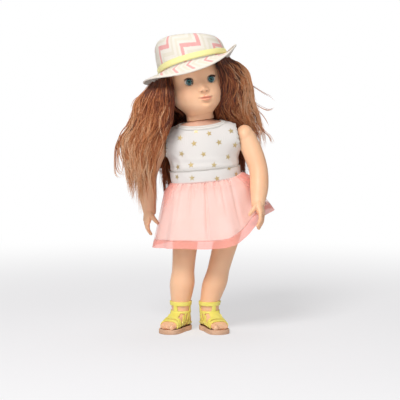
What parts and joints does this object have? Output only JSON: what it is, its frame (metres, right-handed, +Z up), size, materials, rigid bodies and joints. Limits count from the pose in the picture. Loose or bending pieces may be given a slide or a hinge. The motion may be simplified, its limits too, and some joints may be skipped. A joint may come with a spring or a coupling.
{
  "type": "play doll",
  "caption": "Standing play doll with vinyl head and limbs on a stuffed torso, sleep eyes, long hair, brimmed hat, sleeveless dress with gathered skirt, and sandals.",
  "frame": {"origin": "middle of the plan outline, on the floor under the sandal soles", "axes": "+Z up; the doll faces -Y; the doll's left side is towards +X"},
  "size_m": [0.2312, 0.1548, 0.4569],
  "materials": {
    "skin_vinyl": "satin",
    "torso_cloth": "matte",
    "stuffing": "matte",
    "hard_plastic": "satin",
    "steel": "satin",
    "eye_white": "gloss",
    "iris": "gloss",
    "lens": "gloss",
    "lash_fibre": "matte",
    "hair_fibre": "satin",
    "hat_cloth": "matte",
    "ribbon": "satin",
    "jersey": "matte",
    "lining_cloth": "matte",
    "tulle": "matte",
    "sandal_plastic": "satin",
    "sole_foam": "matte"
  },
  "bodies": {
    "torso": {"torso_cover": "torso_cloth", "torso_stuffing": "stuffing", "neck_post": "hard_plastic", "neck_washer": "hard_plastic", "bodice_front": "jersey", "bodice_back_left": "jersey", "bodice_back_right": "jersey", "neck_binding": "jersey", "armhole_binding_left": "jersey", "armhole_binding_right": "jersey", "waistband": "jersey", "back_closure": "jersey", "skirt_lining": "lining_cloth", "skirt_tulle": "tulle"},
    "head": {"head_shell": "skin_vinyl", "eye_bracket_left": "hard_plastic", "eye_bracket_right": "hard_plastic", "hair_scalp": "hair_fibre", "hair_back": "hair_fibre", "hair_left": "hair_fibre", "hair_right": "hair_fibre", "hat_crown": "hat_cloth", "hat_brim": "hat_cloth", "hat_band": "ribbon", "hat_sweatband": "hat_cloth"},
    "eyes": {"eye_axle": "steel", "eye_weight": "steel", "eyeball_left": "eye_white", "eyeball_right": "eye_white", "iris_left": "iris", "iris_right": "iris", "lens_left": "lens", "lens_right": "lens", "eyelid_left": "skin_vinyl", "eyelid_right": "skin_vinyl", "lash_left": "lash_fibre", "lash_right": "lash_fibre"},
    "left_arm": {"arm_left": "skin_vinyl", "arm_stud_left": "hard_plastic", "arm_washer_left": "hard_plastic"},
    "left_leg": {"leg_left": "skin_vinyl", "leg_stud_left": "hard_plastic", "leg_washer_left": "hard_plastic", "sandal_sole_left": "sole_foam", "sandal_upper_left": "sandal_plastic", "sandal_strap_left": "sandal_plastic"},
    "right_arm": {"arm_right": "skin_vinyl", "arm_stud_right": "hard_plastic", "arm_washer_right": "hard_plastic"},
    "right_leg": {"leg_right": "skin_vinyl", "leg_stud_right": "hard_plastic", "leg_washer_right": "hard_plastic", "sandal_sole_right": "sole_foam", "sandal_upper_right": "sandal_plastic", "sandal_strap_right": "sandal_plastic"}
  },
  "joints": [
    {"name": "neck_turn", "type": "hinge", "parent": "torso", "child": "head", "pos_m": [0.00742, -0.00236, 0.32538], "axis": [-0.0924, 0, 0.9957], "range_deg": [-60, 60], "deforming": ["hair_back", "hair_left", "hair_right"]},
    {"name": "eye_close", "type": "hinge", "parent": "head", "child": "eyes", "pos_m": [0.00537, -0.03732, 0.38597], "axis": [0.9757, 0.1736, 0.1337], "range_deg": [0, 55]},
    {"name": "left_shoulder", "type": "hinge", "parent": "torso", "child": "left_arm", "pos_m": [0.07541, -0.00236, 0.30155], "axis": [-0.9957, 0, -0.0924], "range_deg": [-59, 121], "deforming": ["hair_back", "hair_left", "hair_right", "skirt_lining", "skirt_tulle"]},
    {"name": "right_shoulder", "type": "hinge", "parent": "torso", "child": "right_arm", "pos_m": [-0.05503, -0.00236, 0.28945], "axis": [-0.9957, 0, -0.0924], "range_deg": [-23, 157], "deforming": ["hair_back", "hair_left", "hair_right", "skirt_lining", "skirt_tulle"]},
    {"name": "left_hip", "type": "hinge", "parent": "torso", "child": "left_leg", "pos_m": [0.0554, -0.00236, 0.18], "axis": [-1, 0, 0], "range_deg": [-15, 90], "deforming": ["skirt_lining", "skirt_tulle"]},
    {"name": "right_hip", "type": "hinge", "parent": "torso", "child": "right_leg", "pos_m": [-0.0136, -0.00236, 0.18], "axis": [-1, 0, 0], "range_deg": [-15, 90], "deforming": ["skirt_lining", "skirt_tulle"]}
  ]
}
